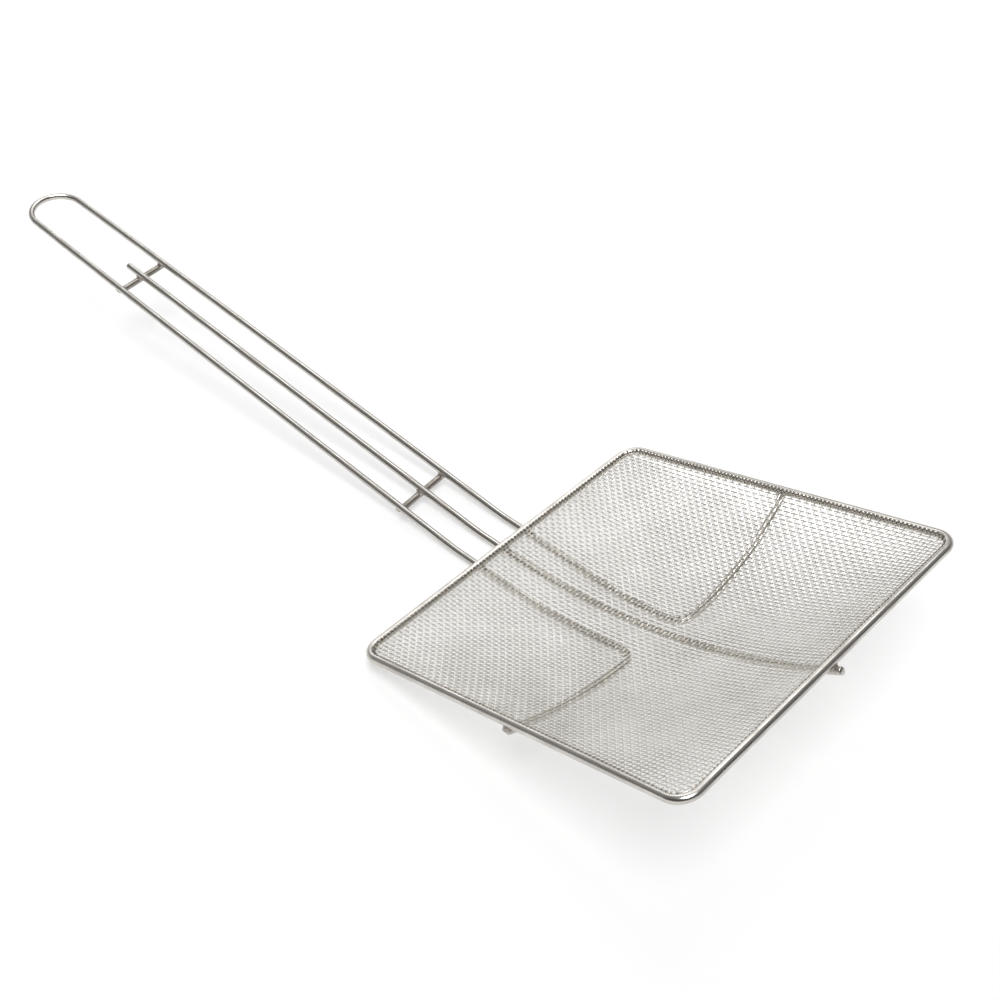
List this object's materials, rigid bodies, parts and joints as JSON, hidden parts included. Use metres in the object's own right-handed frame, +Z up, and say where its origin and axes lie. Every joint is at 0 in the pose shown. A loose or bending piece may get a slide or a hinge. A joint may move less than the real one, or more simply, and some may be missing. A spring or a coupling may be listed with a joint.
{
  "type": "fine mesh skimmer",
  "caption": "Square skimmer: a shallow dish of fine woven wire cloth in a welded wire rim, on ribs that run out into a long wire handle with a loop to hang it by.",
  "frame": {"origin": "on the table that the skimmer lies on, under the middle of its box", "axes": "+X along the handle from its loop to the far side of the head, +Z up from the table, +Y across"},
  "size_m": [0.4932, 0.1684, 0.0528],
  "materials": {
    "plated_wire": "bright plated steel wire, a little dulled by use",
    "wire_cloth": "fine plain-woven steel wire, satin as seen from a step away"
  },
  "bodies": {
    "root": {"rim_wire": "plated_wire", "handle_wire": "plated_wire", "centre_wire": "plated_wire", "lower_crossbar": "plated_wire", "upper_crossbar": "plated_wire", "mesh_screen": "wire_cloth"}
  },
  "joints": []
}
